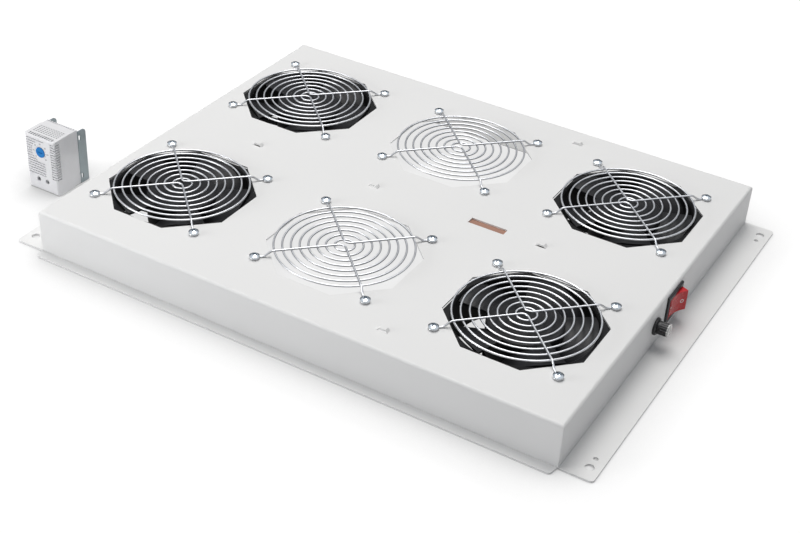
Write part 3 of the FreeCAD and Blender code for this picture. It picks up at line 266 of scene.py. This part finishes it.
def plated(name, colour, roughness, streak=None):
    """Bright plating with drawing marks and cloudy patches."""
    metal = Finish(name, metallic=1.0)
    marks = metal.noise(scale=700, detail=3, stretch=streak)
    cloud = metal.noise(scale=90)
    metal.set("Base Color", metal.blend(cloud, shade(colour, 0.88), shade(colour, 1.04)))
    metal.set("Roughness", marks * 0.16 + (roughness - 0.06) + cloud * 0.06)
    metal.bump(marks, depth=0.02 * MM, strength=0.4)
    return metal.material


def moulded(name, colour, roughness, grain=2600, depth=0.02 * MM, gloss=0.5):
    """Moulded plastic: fine spark grain, slow drift of gloss."""
    plastic = Finish(name, specular_ior_level=gloss)
    fine = plastic.noise(scale=grain)
    slow = plastic.noise(scale=60)
    plastic.set("Base Color", plastic.blend(slow, shade(colour, 0.93), shade(colour, 1.06)))
    plastic.set("Roughness", slow * 0.1 + (roughness - 0.05) + fine * 0.05)
    plastic.bump(fine, depth, strength=0.5)
    return plastic.material


def pressed_board(name, colour):
    """Brown pressed board with long fibres and a few dark flecks."""
    board = Finish(name, roughness=0.72)
    fibres = board.noise(scale=260, detail=5, stretch=(0.5, 3.5, 1))
    flecks = board.noise(scale=1400).above(0.66)
    tone = board.blend(fibres, shade(colour, 0.82), shade(colour, 1.22))
    board.set("Base Color", board.blend(flecks * 0.35, tone, shade(colour, 0.45)))
    board.bump(fibres, depth=0.06 * MM, strength=0.5)
    return board.material


def fuse_glass(name, span):
    """Clear glass body of the fuse, over a span along X, between its metal ends."""
    glass = Finish(name, roughness=0.05, alpha=0.45)
    x_axis = glass.axes()[0]
    ends = x_axis.above(span[1]) + x_axis.below(span[0])
    glass.set("Base Color", glass.blend(ends, (0.85, 0.88, 0.88), (0.75, 0.74, 0.72)))
    glass.set("Metallic", ends)
    return glass.material


def wound_copper(name):
    """Enamelled wire wound in tight turns round the motor, with painted shade between the turns and a
    painted highlight on their crowns.
    """
    copper = Finish(name, roughness=0.35, metallic=0.8)
    turns = copper.wave(copper.axes()[2], rate=14000)
    # Painted shade and highlight: the colour follows the relief of the turns, dark in the grooves and light
    # on the crowns
    copper.set("Base Color", copper.blend(turns * 0.5 + 0.5, (0.22, 0.07, 0.025), (0.55, 0.21, 0.08)))
    copper.bump(turns, depth=0.1 * MM, strength=0.6)
    return copper.material


def clear_ended(name, colour, clear, start):
    """Moulding that turns another colour past a place along X, glossier there and coated."""
    plastic = Finish(name)
    # Past the start the moulding takes the second colour, glossier and coated
    lens = plastic.axes()[0].above(start)
    slow = plastic.noise(scale=900)
    plastic.set("Base Color", plastic.blend(lens, colour, clear))
    plastic.set("Roughness", slow * 0.1 + 0.36 - lens * 0.24)
    plastic.set("Coat Weight", lens)
    plastic.bump(slow, depth=0.03 * MM, strength=0.4)
    return plastic.material


def rocker_plastic(name, colour):
    """Clear red moulding with fine lines on its face."""
    red = Finish(name, specular_ior_level=0.35)
    lines = red.wave(red.axes()[2], rate=9000)
    slow = red.noise(scale=260)
    red.set("Base Color", red.blend(slow, shade(colour, 0.85), shade(colour, 1.15)))
    red.set("Roughness", slow * 0.1 + 0.22)
    red.bump(lines, depth=0.03 * MM, strength=0.35)
    return red.material


def dress(nodes, material):
    """Give carried-over solids their material."""
    for name in nodes:
        for slot in NODES[name].material_slots:
            slot.material = material


def numbered(stem, count):
    return ["%s_%d" % (stem, n) for n in range(1, count + 1)]


# Mesh pieces
def new_piece(name, mesh, material, body):
    """Put a finished mesh in the scene as a piece that rides on a body."""
    piece = bpy.data.objects.new(name, mesh)
    bpy.context.scene.collection.objects.link(piece)
    if material is not None:
        mesh.materials.clear()
        mesh.materials.append(material)
    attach(piece, body)


def mesh_of(points, faces, name):
    mesh = bpy.data.meshes.new(name)
    mesh.from_pydata(points, [], faces)
    mesh.validate()
    return mesh


def input_id(tree, name):
    """The identifier of a named input of a node tree."""
    return next(item.identifier for item in tree.interface.items_tree
                if item.item_type == "SOCKET" and item.in_out == "INPUT" and item.name == name)


class Tree:
    """A geometry node tree with named inputs."""

    def __init__(self, name, inputs):
        self.tree = bpy.data.node_groups.new(name, "GeometryNodeTree")
        self.tree.interface.new_socket("Geometry", in_out="INPUT", socket_type="NodeSocketGeometry")
        self.tree.interface.new_socket("Geometry", in_out="OUTPUT", socket_type="NodeSocketGeometry")
        for label, kind in inputs:
            self.tree.interface.new_socket(label, in_out="INPUT", socket_type=kind)
        self.start = self.tree.nodes.new("NodeGroupInput")
        self.end = self.tree.nodes.new("NodeGroupOutput")

    def add(self, kind, inputs, settings=None):
        """Add a node and give back its first output; inputs are values or outputs of other nodes."""
        node = self.tree.nodes.new(kind)
        for name, value in (settings or {}).items():
            setattr(node, name, value)
        for name, value in inputs.items():
            if isinstance(value, bpy.types.NodeSocket):
                self.tree.links.new(value, node.inputs[name])
            else:
                node.inputs[name].default_value = value
        return node.outputs[0]

    def given(self, name):
        return self.start.outputs[name]

    def finish(self, geometry, material):
        real = self.add("GeometryNodeRealizeInstances", {0: geometry})
        painted = self.add("GeometryNodeSetMaterial", {"Geometry": real, "Material": material})
        self.tree.links.new(painted, self.end.inputs[0])

    def mesh_from(self, name, base, values):
        """The plain mesh that the tree makes of a base mesh."""
        carrier = bpy.data.objects.new(name + "_carrier", base)
        bpy.context.scene.collection.objects.link(carrier)
        maker = carrier.modifiers.new("maker", "NODES")
        maker.node_group = self.tree
        for label, amount in values.items():
            maker[input_id(self.tree, label)] = amount
        reader = bpy.context.evaluated_depsgraph_get()
        mesh = bpy.data.meshes.new_from_object(carrier.evaluated_get(reader))
        carrier.modifiers.remove(maker)
        bpy.data.objects.remove(carrier)
        mesh.name = name
        return mesh


# Operators
class FANTRAY_OT_tray(bpy.types.Operator):
    """Coat the folded tray"""
    bl_idname = "fantray.tray"
    bl_label = "Tray"

    def execute(self, context):
        colours = context.scene.fan_tray_colours
        dress(["tray_shell"], powder_coat("powder coat", colours.tray_paint))
        return {"FINISHED"}


class FANTRAY_OT_guards(bpy.types.Operator):
    """Plate the finger guards and weld their spokes to the rings"""
    bl_idname = "fantray.guards"
    bl_label = "Finger guards"

    ring_first = 8.3 * MM
    ring_step = 7.1 * MM
    ring_count = 8
    spoke_offset = 0.5 * MM
    eye_corner = 52.5 * MM
    bead_level = 44.85 * MM

    def crossings(self):
        """Where the spokes of one guard cross its rings."""
        places = []
        run = self.eye_corner
        rise = self.eye_corner - self.spoke_offset
        length = math.hypot(run, rise)
        for n in range(self.ring_count):
            radius = self.ring_first + n * self.ring_step
            half = self.spoke_offset * rise / length
            far = -half + math.sqrt(half ** 2 + radius ** 2 - self.spoke_offset ** 2)
            x, y = far * run / length, self.spoke_offset + far * rise / length
            places += [(across * x, back * y) for across in (-1, 1) for back in (-1, 1)]
        return places

    def execute(self, context):
        sizes = context.scene.fan_tray_sizes
        wire = plated("plated wire", (0.68, 0.685, 0.70), roughness=0.3)
        guards = numbered("finger_guard", GUARD_COUNT)
        dress(guards, wire)
        tree = Tree("weld beads", (("Bead Radius", "NodeSocketFloat"), ("Bead Height", "NodeSocketFloat")))
        ball = tree.add("GeometryNodeMeshIcoSphere", {"Radius": 1.0, "Subdivisions": 2})
        size = tree.add("ShaderNodeCombineXYZ", {
            "X": tree.given("Bead Radius"), "Y": tree.given("Bead Radius"), "Z": tree.given("Bead Height")})
        beads = tree.add("GeometryNodeInstanceOnPoints", {
            "Points": tree.given("Geometry"), "Instance": ball, "Scale": size})
        tree.finish(beads, wire)
        for name in guards:
            low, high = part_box(name)
            middle = ((low[0] + high[0]) / 2, (low[1] + high[1]) / 2)
            points = [(middle[0] + x, middle[1] + y, self.bead_level) for x, y in self.crossings()]
            base = mesh_of(points, [], "crossings")
            mesh = tree.mesh_from(name.replace("finger_guard", "guard_welds"), base, {
                "Bead Radius": sizes.weld_width, "Bead Height": sizes.weld_height})
            mesh.shade_smooth()
            new_piece(mesh.name, mesh, None, "tray")
        return {"FINISHED"}


class FANTRAY_OT_fasteners(bpy.types.Operator):
    """Plate the screws, nuts and terminals"""
    bl_idname = "fantray.fasteners"
    bl_label = "Fasteners"

    def execute(self, context):
        zinc = plated("zinc plate", (0.61, 0.65, 0.685), roughness=0.13)
        dress(["guard_screws", "guard_nuts", "block_screws", "clamp_screws"], zinc)
        tinned = plated("tinned brass", (0.72, 0.71, 0.68), roughness=0.35)
        dress(["switch_terminals", "fuse_terminals"], tinned)
        return {"FINISHED"}


class FANTRAY_OT_fans(bpy.types.Operator):
    """Enamel the frames and colour the impellers and motors"""
    bl_idname = "fantray.fans"
    bl_label = "Fans"

    def execute(self, context):
        colours = context.scene.fan_tray_colours
        enamel = moulded("black enamel", colours.fan_black, roughness=0.42,
                         grain=1800, depth=0.04 * MM, gloss=0.14)
        dress(numbered("fan_frame", FAN_COUNT), enamel)
        blades = moulded("moulded blades", colours.blade_black, roughness=0.36, gloss=0.22)
        dress(numbered("fan_impeller", FAN_COUNT), blades)
        steel = plated("turned steel", (0.55, 0.55, 0.56), roughness=0.32)
        dress(numbered("fan_shaft", FAN_COUNT) + numbered("rotor_ring", FAN_COUNT), steel)
        dress(numbered("fan_stator", FAN_COUNT), wound_copper("wound copper"))
        dress(["fan_bearings"], plated("sintered bronze", (0.55, 0.38, 0.2), roughness=0.45))
        return {"FINISHED"}


class FANTRAY_OT_switch(bpy.types.Operator):
    """Colour the rocker switch and print a ring and a bar on its rocker"""
    bl_idname = "fantray.switch"
    bl_label = "Rocker switch"

    face_radius = 25 * MM
    face_centre = 27.219 * MM
    pivot = Vector((243.5 * MM, 11.2 * MM, 22.8 * MM))
    rest_turn = math.radians(-15)
    ring_place = 7.2 * MM
    ring_wall = 0.65 * MM
    bar_place = -7.6 * MM
    bar_half = (1.5 * MM, 0.35 * MM)
    ring_sides = 40

    def on_face(self, y, z, lift):
        """A point on the hollow face of the rocker, from its own middle."""
        x = self.face_centre - math.sqrt(self.face_radius ** 2 - y ** 2) + lift
        return Matrix.Rotation(self.rest_turn, 3, "Z") @ Vector((x, y, z)) + self.pivot

    def strip(self, name, rows, closed, lift):
        """A thin raised strip between pairs of points of the face."""
        count = len(rows)
        points, faces = [], []
        for inner, outer in rows:
            points += [self.on_face(*inner, -lift), self.on_face(*inner, lift),
                       self.on_face(*outer, lift), self.on_face(*outer, -lift)]
        for n in range(count if closed else count - 1):
            here, there = 4 * n, 4 * ((n + 1) % count)
            for k in range(4):
                faces.append((here + k, here + (k + 1) % 4, there + (k + 1) % 4, there + k))
        if not closed:
            faces += [(0, 1, 2, 3), tuple(4 * count - 4 + k for k in (3, 2, 1, 0))]
        mesh = mesh_of(points, faces, name)
        tidy = bmesh.new()
        tidy.from_mesh(mesh)
        bmesh.ops.recalc_face_normals(tidy, faces=tidy.faces)
        tidy.to_mesh(mesh)
        tidy.free()
        return mesh

    def execute(self, context):
        scene = context.scene
        black = moulded("switch black", (0.014, 0.014, 0.016), roughness=0.4)
        dress(["switch_housing"], black)
        dress(["switch_rocker"], rocker_plastic("rocker red", scene.fan_tray_colours.rocker_red))
        white = moulded("mark white", (0.82, 0.78, 0.78), roughness=0.5)
        lift = scene.fan_tray_sizes.mark_rise
        outer = scene.fan_tray_sizes.ring_mark
        inner = outer - self.ring_wall
        ring = []
        for n in range(self.ring_sides):
            angle = 2 * math.pi * n / self.ring_sides
            across, up = math.cos(angle), math.sin(angle)
            ring.append([(self.ring_place + radius * across, radius * up) for radius in (inner, outer)])
        long_half, wide_half = self.bar_half
        bar = [[(self.bar_place + step * long_half, side * wide_half) for side in (-1, 1)]
               for step in (-1, -0.5, 0, 0.5, 1)]
        for name, rows, closed in (("rocker_ring_mark", ring, True), ("rocker_bar_mark", bar, False)):
            new_piece(name, self.strip(name, rows, closed, lift), white, "rocker")
        return {"FINISHED"}


class FANTRAY_OT_fuse(bpy.types.Operator):
    """Colour the fuse holder, its cap and the fuse"""
    bl_idname = "fantray.fuse"
    bl_label = "Fuse holder"

    black = (0.012, 0.012, 0.013)
    # The cap's end past its start is pale grey and glossy
    lens_grey = (0.50, 0.50, 0.49)
    lens_start = 253.8 * MM
    glass_span = (221.5 * MM, 230.5 * MM)

    def execute(self, context):
        dress(["fuse_holder_body", "fuse_nut"], moulded("fuse black", self.black, roughness=0.42))
        dress(["fuse_cap"], clear_ended("fuse cap", self.black, self.lens_grey, self.lens_start))
        dress(["fuse_carrier"], moulded("fuse carrier", (0.62, 0.62, 0.60), roughness=0.35))
        dress(["fuse_link"], fuse_glass("fuse glass", self.glass_span))
        return {"FINISHED"}


class FANTRAY_OT_wiring(bpy.types.Operator):
    """Colour the wiring board, the terminal block and the grommet"""
    bl_idname = "fantray.wiring"
    bl_label = "Wiring board and grommet"

    def execute(self, context):
        brown = context.scene.fan_tray_colours.board_brown
        dress(["insulation_board"], pressed_board("pressed board", brown))
        dress(["terminal_block"], moulded("block white", (0.72, 0.71, 0.68), roughness=0.5))
        rubber = moulded("grommet rubber", (0.02, 0.02, 0.02), roughness=0.75, grain=900, depth=0.05 * MM)
        dress(["cable_grommet"], rubber)
        return {"FINISHED"}


class FANTRAY_OT_thermostat(bpy.types.Operator):
    """Colour the thermostat and print the scale round its dial"""
    bl_idname = "fantray.thermostat"
    bl_label = "Thermostat"

    numbers = (0, 10, 20, 30, 40, 50, 60)
    sweep = math.radians(270)
    tick_half = (0.09 * MM, 0.5 * MM)
    size_per_height = 1.4

    def facing(self):
        """Turns a flat drawing to the front of the thermostat, with its middle on the dial."""
        low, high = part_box("thermostat_dial")
        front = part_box("thermostat_cover")[0][1]
        centre = Vector(((low[0] + high[0]) / 2, front, (low[2] + high[2]) / 2))
        return Matrix.Translation(centre) @ Matrix.Rotation(math.radians(90), 4, "X")

    def angle_of(self, number):
        return self.sweep / 2 - self.sweep * number / self.numbers[-1]

    def printed_numbers(self, sizes, ink):
        """The numbers of the scale as one mesh."""
        joined = bmesh.new()
        for number in self.numbers:
            curve = bpy.data.curves.new("number", "FONT")
            curve.body = str(number)
            curve.size = sizes.number_height * self.size_per_height
            curve.align_x, curve.align_y = "CENTER", "CENTER"
            curve.extrude = sizes.mark_rise / 2
            curve.resolution_u = 2
            text = bpy.data.objects.new("number", curve)
            bpy.context.scene.collection.objects.link(text)
            reader = bpy.context.evaluated_depsgraph_get()
            mesh = bpy.data.meshes.new_from_object(text.evaluated_get(reader))
            bpy.data.objects.remove(text)
            angle = self.angle_of(number)
            place = Vector((-math.sin(angle), math.cos(angle), 0)) * sizes.number_ring
            mesh.transform(Matrix.Translation(place))
            joined.from_mesh(mesh)
            bpy.data.meshes.remove(mesh)
        mesh = bpy.data.meshes.new("dial_numbers")
        joined.to_mesh(mesh)
        joined.free()
        mesh.transform(self.facing())
        new_piece("dial_numbers", mesh, ink, "tray")

    def printed_ticks(self, sizes, ink):
        """A tick for each number and one between, set round the dial by rule."""
        tree = Tree("dial ticks", (("Half Width", "NodeSocketFloat"), ("Half Length", "NodeSocketFloat")))
        size = tree.add("ShaderNodeCombineXYZ", {
            "X": tree.given("Half Width"), "Y": tree.given("Half Length"), "Z": sizes.mark_rise / 2})
        cube = tree.add("GeometryNodeMeshCube", {"Size": (2, 2, 2)})
        turn = tree.add("GeometryNodeInputNamedAttribute", {"Name": "turn"}, {"data_type": "FLOAT_VECTOR"})
        ticks = tree.add("GeometryNodeInstanceOnPoints", {
            "Points": tree.given("Geometry"), "Instance": cube, "Scale": size, "Rotation": turn})
        tree.finish(ticks, ink)
        step = (self.numbers[1] - self.numbers[0]) / 2
        angles = [self.angle_of(step * n) for n in range(int(self.numbers[-1] / step) + 1)]
        radius = sizes.tick_ring
        base = mesh_of([(-math.sin(a) * radius, math.cos(a) * radius, 0) for a in angles], [], "ticks")
        turns = base.attributes.new("turn", "FLOAT_VECTOR", "POINT")
        for row, angle in zip(turns.data, angles):
            row.vector = (0, 0, angle)
        mesh = tree.mesh_from("dial_ticks", base, {
            "Half Width": self.tick_half[0], "Half Length": self.tick_half[1]})
        mesh.transform(self.facing())
        new_piece("dial_ticks", mesh, None, "tray")

    def execute(self, context):
        colours = context.scene.fan_tray_colours
        sizes = context.scene.fan_tray_sizes
        grey = moulded("thermostat grey", colours.stat_grey, roughness=0.5, grain=1900, depth=0.04 * MM)
        dress(["thermostat_cover", "thermostat_base"], grey)
        dress(["thermostat_dial"], moulded("dial blue", colours.dial_blue, roughness=0.5, gloss=0.3))
        steel = plated("passivated steel", colours.clip_steel, roughness=0.38, streak=(1, 1, 0.2))
        dress(["thermostat_clip"], steel)
        ink = moulded("scale ink", (0.05, 0.05, 0.055), roughness=0.6)
        self.printed_numbers(sizes, ink)
        self.printed_ticks(sizes, ink)
        return {"FINISHED"}


class FANTRAY_OT_stage(bpy.types.Operator):
    """Set the floor, the light and the camera"""
    bl_idname = "fantray.stage"
    bl_label = "Stage"

    # The floor in the open: its white for light that bounces, its glow and grey for the camera
    floor_half = 4.0
    floor_drop = 0.2 * MM
    floor_white = (0.8, 0.8, 0.805, 1)
    floor_glow = 0.69
    faint_grey = (0.38, 0.38, 0.38, 1)
    # The floor under the tray, half its length and depth, with its painted glow that lights the inside of
    # the tray for light that bounces, and its painted shadow grey for the camera, deeper in gloss
    under_half = (241 * MM, 196 * MM)
    under_glow = 1.0
    under_grey = (0.77, 0.77, 0.77)
    under_share = 0.65
    under_dusk = 0.2
    # The shadow on the floor beside the tray
    shadow_reach = 60 * MM
    shadow_depth = 0.75
    shadow_samples = 12
    # Lamps, sky and camera
    key_place = Vector((-0.4, 0.45, 2.5))
    key_side = 1.8
    key_tint = (1, 0.985, 0.965)
    fill_place = Vector((-0.9, -0.95, 0.3))
    fill_side = 0.5
    fill_tint = (1, 1, 1)
    sky_tint = (0.91, 0.945, 1)
    glow_rise = (0.1, 0.8)
    glow_level = (0.08, 0.95)
    sensor_width = 36
    clip_range = (0.05, 30)

    def floor(self):
        """A pale floor: white to the camera, with a soft painted shadow beside and under the tray, and a
        painted glow under the tray that lights its inside.
        """
        half, low = self.floor_half, -self.floor_drop
        corners = [(-half, -half, low), (half, -half, low), (half, half, low), (-half, half, low)]
        mesh = mesh_of(corners, [(0, 1, 2, 3)], "floor")
        floor = bpy.data.objects.new("floor", mesh)
        bpy.context.scene.collection.objects.link(floor)
        material = bpy.data.materials.new("studio floor")
        paper = Shading(material)
        x_axis, y_axis, _ = paper.axes()
        lit = paper.add("ShaderNodeBsdfDiffuse", {"Color": self.floor_white})
        # Painted light: under the tray the floor glows for light that bounces, to light the inside of the
        # tray
        under = paper.add("ShaderNodeEmission", {"Strength": self.under_glow})
        covered = x_axis.within(self.under_half[0]) * y_axis.within(self.under_half[1])
        bounce = paper.add("ShaderNodeMixShader", {0: covered, 1: lit, 2: under})
        faint = paper.add("ShaderNodeBsdfDiffuse", {"Color": self.faint_grey})
        glow = paper.add("ShaderNodeEmission", {"Strength": self.floor_glow})
        both = paper.add("ShaderNodeAddShader", {0: faint, 1: glow})
        open_sky = paper.add("ShaderNodeAmbientOcclusion", {"Distance": self.shadow_reach}, {
            "samples": self.shadow_samples}, output="AO")
        gloss = paper.seen("Is Glossy Ray")
        # Painted shadow: under the tray the camera sees a grey glow, and gloss sees it darker still
        dim = paper.add("ShaderNodeEmission", {
            "Color": paper.blend(covered * (1 - gloss), (0, 0, 0), self.under_grey)})
        beside = (1 - covered) * (1 - open_sky) * self.shadow_depth
        below = covered * (self.under_share + gloss * self.under_dusk)
        shaded = paper.add("ShaderNodeMixShader", {0: beside + below, 1: both, 2: dim})
        seen = paper.seen("Is Camera Ray", "Is Glossy Ray", "Is Transmission Ray")
        mixed = paper.add("ShaderNodeMixShader", {0: seen, 1: bounce, 2: shaded})
        paper.close("ShaderNodeOutputMaterial", mixed)
        mesh.materials.append(material)

    def sky(self, level):
        """Even cool light; white to the eye, and a soft overhead glow over a dim horizon in gloss."""
        world = bpy.data.worlds.new("studio")
        bpy.context.scene.world = world
        air = Shading(world)
        direction = air.add("ShaderNodeTexCoord", output="Generated")
        height = air.add("ShaderNodeSeparateXYZ", {0: direction}, output="Z")
        band = air.add("ShaderNodeMapRange", {
            "Value": height, "From Min": self.glow_rise[0], "From Max": self.glow_rise[1],
            "To Min": self.glow_level[0], "To Max": self.glow_level[1]},
            {"interpolation_type": "SMOOTHSTEP"})
        gloss = air.seen("Is Glossy Ray")
        plain = air.seen("Is Camera Ray", "Is Transmission Ray")
        strength = gloss * band + plain + (1 - gloss - plain) * level
        background = air.add("ShaderNodeBackground", {
            "Color": air.blend(plain, self.sky_tint, (1, 1, 1)), "Strength": strength})
        air.close("ShaderNodeOutputWorld", background)

    def lamp(self, name, place, side, power, tint):
        light = bpy.data.lights.new(name, "AREA")
        light.color = tint
        light.shape = "SQUARE"
        light.size = side
        light.energy = power
        lamp = bpy.data.objects.new(name, light)
        lamp.location = place
        lamp.rotation_mode = "QUATERNION"
        lamp.rotation_quaternion = (-place).to_track_quat("-Z", "Y")
        bpy.context.scene.collection.objects.link(lamp)

    def camera(self, stage):
        data = bpy.data.cameras.new("camera")
        data.sensor_width = self.sensor_width
        data.lens = stage.lens
        data.clip_start, data.clip_end = self.clip_range
        camera = bpy.data.objects.new("camera", data)
        camera.location = stage.camera_place
        camera.rotation_euler = stage.camera_turn
        bpy.context.scene.collection.objects.link(camera)
        bpy.context.scene.camera = camera

    def execute(self, context):
        stage = context.scene.fan_tray_stage
        self.floor()
        self.sky(stage.sky_level)
        self.lamp("key", self.key_place, self.key_side, stage.key_power, self.key_tint)
        self.lamp("fill", self.fill_place, self.fill_side, stage.fill_power, self.fill_tint)
        self.camera(stage)
        context.scene.view_settings.view_transform = "Standard"
        return {"FINISHED"}


class FANTRAY_PT_panel(bpy.types.Panel):
    """The steps that dress the tray"""
    bl_label = "Fan Tray"
    bl_idname = "FANTRAY_PT_panel"
    bl_space_type = "VIEW_3D"
    bl_region_type = "UI"
    bl_category = "Fan Tray"

    def draw(self, context):
        layout = self.layout
        for group in ("fan_tray_colours", "fan_tray_sizes", "fan_tray_stage"):
            settings = getattr(context.scene, group)
            column = layout.column(align=True)
            for name in settings.__annotations__:
                column.prop(settings, name)
        for step in STEPS:
            layout.operator(step.bl_idname)


GROUPS = (
    ("fan_tray_colours", FanTrayColours),
    ("fan_tray_sizes", FanTraySizes),
    ("fan_tray_stage", FanTrayStage),
)
STEPS = (
    FANTRAY_OT_tray, FANTRAY_OT_guards, FANTRAY_OT_fasteners, FANTRAY_OT_fans, FANTRAY_OT_switch,
    FANTRAY_OT_fuse, FANTRAY_OT_wiring, FANTRAY_OT_thermostat, FANTRAY_OT_stage,
)


def register():
    for name, group in GROUPS:
        bpy.utils.register_class(group)
        setattr(bpy.types.Scene, name, bpy.props.PointerProperty(type=group))
    for kind in (*STEPS, FANTRAY_PT_panel):
        bpy.utils.register_class(kind)


def unregister():
    for kind in reversed((*STEPS, FANTRAY_PT_panel)):
        bpy.utils.unregister_class(kind)
    for name, group in reversed(GROUPS):
        delattr(bpy.types.Scene, name)
        bpy.utils.unregister_class(group)


def main():
    """Run every step in order."""
    register()
    for step in STEPS:
        category, name = step.bl_idname.split(".")
        getattr(getattr(bpy.ops, category), name)()


if __name__ == "__main__":
    main()
